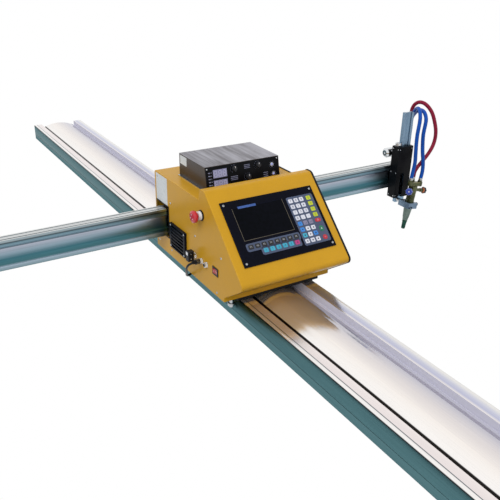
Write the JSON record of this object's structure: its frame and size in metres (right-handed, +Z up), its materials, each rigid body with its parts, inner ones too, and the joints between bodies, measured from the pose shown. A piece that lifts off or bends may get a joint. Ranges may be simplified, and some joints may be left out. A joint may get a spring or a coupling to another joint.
{
  "type": "portable plasma cutting machine",
  "caption": "Motorised carriage with a slanted control console on a wide aluminium rail; a crossbeam slides through it and carries a motor lift with a cutting torch.",
  "frame": {"origin": "middle of the rail's underside", "axes": "+Z up, +Y along the rail away from the console front, +X along the crossbeam towards the torch"},
  "size_m": [2.086, 3.4, 0.481],
  "materials": {
    "rail_alloy": "satin",
    "gear_steel": "satin",
    "bright_steel": "satin",
    "yellow_paint": "powder coat",
    "black_rubber": "matte",
    "grey_paint": "satin",
    "nylon": "matte",
    "motor_black": "satin",
    "electronics": "matte",
    "panel_black": "gloss",
    "screen": "gloss",
    "key_film": "satin",
    "red_plastic": "gloss",
    "chrome_trim": "polished",
    "cable_black": "matte",
    "beam_alloy": "satin",
    "clamp_alloy": "satin",
    "torch_brass": "satin",
    "blue_plastic": "gloss",
    "hose_rubber": "satin"
  },
  "bodies": {
    "rail": {"rail_extrusion": "rail_alloy", "rail_rack": "gear_steel", "rack_screws": "bright_steel"},
    "carriage": {"base_tray": "yellow_paint", "side_panel_left": "yellow_paint", "side_panel_right": "yellow_paint", "console_cover": "yellow_paint", "rear_cover": "yellow_paint", "edge_trims": "black_rubber", "housing_screws": "bright_steel", "rail_wiper": "black_rubber", "wheel_mounts": "bright_steel", "beam_brackets": "grey_paint", "beam_slide_pads": "nylon", "drive_motors": "motor_black", "power_electronics": "electronics", "controller_case": "electronics", "control_panel": "panel_black", "display_screen": "screen", "keypad": "key_film", "estop_base": "electronics", "fan_guard": "electronics", "fan_frame": "electronics", "switch_frame": "electronics", "side_sockets": "chrome_trim", "signal_cable": "cable_black", "thc_case": "motor_black", "thc_front": "electronics"},
    "front_wheels": {"front_wheelset": "bright_steel"},
    "rear_wheels": {"rear_wheelset": "bright_steel"},
    "guide_front_left": {"guide_roller_front_left": "bright_steel"},
    "guide_front_right": {"guide_roller_front_right": "bright_steel"},
    "guide_rear_left": {"guide_roller_rear_left": "bright_steel"},
    "guide_rear_right": {"guide_roller_rear_right": "bright_steel"},
    "rail_drive": {"rail_pinion": "gear_steel"},
    "beam_drive": {"beam_pinion": "gear_steel"},
    "beam_wheel_left": {"beam_roller_left": "bright_steel"},
    "beam_wheel_right": {"beam_roller_right": "bright_steel"},
    "stop_button": {"estop_cap": "red_plastic"},
    "fan": {"fan_rotor": "electronics"},
    "rocker": {"power_rocker": "red_plastic"},
    "height_knob_1": {"thc_knob_1": "electronics"},
    "height_knob_2": {"thc_knob_2": "electronics"},
    "height_knob_3": {"thc_knob_3": "electronics"},
    "beam": {"crossbeam": "beam_alloy", "beam_rack": "gear_steel", "beam_end_cap": "electronics", "lift_housing": "motor_black", "lift_motor": "chrome_trim"},
    "screw": {"lift_screw": "chrome_trim"},
    "lift": {"lift_bar": "beam_alloy", "torch_arm": "bright_steel", "gas_hoses": "hose_rubber", "hose_bracket": "grey_paint"},
    "torch": {"torch_clamp": "clamp_alloy", "torch_body": "torch_brass", "torch_nozzle": "torch_brass"},
    "clamp_screw": {"clamp_knob": "electronics"},
    "left_valve": {"valve_left": "blue_plastic"},
    "right_valve": {"valve_right": "electronics"}
  },
  "joints": [
    {"name": "rail_travel", "type": "slide", "parent": "rail", "child": "carriage", "axis": [0, 1, 0], "range_m": [-1.15, 1.65]},
    {"name": "front_axle_turn", "type": "hinge", "parent": "carriage", "child": "front_wheels", "pos_m": [0, -0.428, 0.0968], "axis": [1, 0, 0], "range_deg": [-3941, 2747]},
    {"name": "rear_axle_turn", "type": "hinge", "parent": "carriage", "child": "rear_wheels", "pos_m": [0, -0.178, 0.0968], "axis": [1, 0, 0], "range_deg": [-3941, 2747]},
    {"name": "guide_front_left_turn", "type": "hinge", "parent": "carriage", "child": "guide_front_left", "pos_m": [-0.1398, -0.465, 0.0505], "axis": [0, 0, 1], "range_deg": [-8596, 5992]},
    {"name": "guide_front_right_turn", "type": "hinge", "parent": "carriage", "child": "guide_front_right", "pos_m": [0.1398, -0.465, 0.0505], "axis": [0, 0, 1], "range_deg": [-5992, 8596]},
    {"name": "guide_rear_left_turn", "type": "hinge", "parent": "carriage", "child": "guide_rear_left", "pos_m": [-0.1398, -0.118, 0.0505], "axis": [0, 0, 1], "range_deg": [-8596, 5992]},
    {"name": "guide_rear_right_turn", "type": "hinge", "parent": "carriage", "child": "guide_rear_right", "pos_m": [0.1398, -0.118, 0.0505], "axis": [0, 0, 1], "range_deg": [-5992, 8596]},
    {"name": "rail_pinion_turn", "type": "hinge", "parent": "carriage", "child": "rail_drive", "pos_m": [0.1525, -0.278, 0.0255], "axis": [0, 0, 1], "range_deg": [-4120, 5910]},
    {"name": "beam_travel", "type": "slide", "parent": "carriage", "child": "beam", "axis": [1, 0, 0], "range_m": [-0.52, 0.9]},
    {"name": "beam_pinion_turn", "type": "hinge", "parent": "carriage", "child": "beam_drive", "pos_m": [0, -0.079, 0.1895], "axis": [0, 0, 1], "range_deg": [-1864, 3224]},
    {"name": "beam_wheel_left_turn", "type": "hinge", "parent": "carriage", "child": "beam_wheel_left", "pos_m": [-0.12, -0.121, 0.1377], "axis": [0, 1, 0], "range_deg": [-2130, 3685]},
    {"name": "beam_wheel_right_turn", "type": "hinge", "parent": "carriage", "child": "beam_wheel_right", "pos_m": [0.12, -0.121, 0.1377], "axis": [0, 1, 0], "range_deg": [-2130, 3685]},
    {"name": "stop_push", "type": "slide", "parent": "carriage", "child": "stop_button", "axis": [1, 0, 0], "range_m": [0, 0.005], "stiffness_N_per_m": 300},
    {"name": "fan_spin", "type": "hinge", "parent": "carriage", "child": "fan", "pos_m": [-0.17, -0.217, 0.167], "axis": [1, 0, 0], "continuous": true},
    {"name": "rocker_tilt", "type": "hinge", "parent": "carriage", "child": "rocker", "pos_m": [-0.181, -0.45, 0.161], "axis": [0, 0, 1], "range_deg": [-16, 0]},
    {"name": "height_knob_1_turn", "type": "hinge", "parent": "carriage", "child": "height_knob_1", "pos_m": [-0.038, -0.29648, 0.39778], "axis": [0, -0.9778, 0.2095], "range_deg": [-140, 140]},
    {"name": "height_knob_2_turn", "type": "hinge", "parent": "carriage", "child": "height_knob_2", "pos_m": [0.008, -0.30297, 0.36747], "axis": [0, -0.9778, 0.2095], "range_deg": [-140, 140]},
    {"name": "height_knob_3_turn", "type": "hinge", "parent": "carriage", "child": "height_knob_3", "pos_m": [0.045, -0.29668, 0.3968], "axis": [0, -0.9778, 0.2095], "range_deg": [-140, 140]},
    {"name": "lift_travel", "type": "slide", "parent": "beam", "child": "lift", "axis": [0, 0, 1], "range_m": [-0.008, 0.09]},
    {"name": "lift_screw_turn", "type": "hinge", "parent": "beam", "child": "screw", "pos_m": [0.7565, -0.158, 0.3], "axis": [0, 0, 1], "range_deg": [-6482, 578]},
    {"name": "torch_tilt", "type": "hinge", "parent": "lift", "child": "torch", "pos_m": [0.777, -0.2, 0.107], "axis": [0, 1, 0], "range_deg": [-24, 6], "deforming": ["gas_hoses"]},
    {"name": "clamp_knob_turn", "type": "hinge", "parent": "torch", "child": "clamp_screw", "pos_m": [0.79675, -0.23, 0.10387], "axis": [0.9877, 0, -0.1564], "range_deg": [-360, 360]},
    {"name": "left_valve_turn", "type": "hinge", "parent": "torch", "child": "left_valve", "pos_m": [0.78639, -0.23, 0.16626], "axis": [-0.8466, -0.515, 0.1341], "range_deg": [0, 720]},
    {"name": "right_valve_turn", "type": "hinge", "parent": "torch", "child": "right_valve", "pos_m": [0.78639, -0.23, 0.16626], "axis": [0.9744, 0, -0.225], "range_deg": [0, 720]}
  ],
  "couplings": [
    {"joint": "front_axle_turn", "follows": "rail_travel", "rad_per_m": -41.667},
    {"joint": "rear_axle_turn", "follows": "rail_travel", "rad_per_m": -41.667},
    {"joint": "guide_front_left_turn", "follows": "rail_travel", "rad_per_m": -90.909},
    {"joint": "guide_front_right_turn", "follows": "rail_travel", "rad_per_m": 90.909},
    {"joint": "guide_rear_left_turn", "follows": "rail_travel", "rad_per_m": -90.909},
    {"joint": "guide_rear_right_turn", "follows": "rail_travel", "rad_per_m": 90.909},
    {"joint": "rail_pinion_turn", "follows": "rail_travel", "rad_per_m": 62.5},
    {"joint": "beam_pinion_turn", "follows": "beam_travel", "rad_per_m": 62.5},
    {"joint": "beam_wheel_left_turn", "follows": "beam_travel", "rad_per_m": 71.429},
    {"joint": "beam_wheel_right_turn", "follows": "beam_travel", "rad_per_m": 71.429},
    {"joint": "lift_screw_turn", "follows": "lift_travel", "rad_per_m": -1256.6}
  ]
}
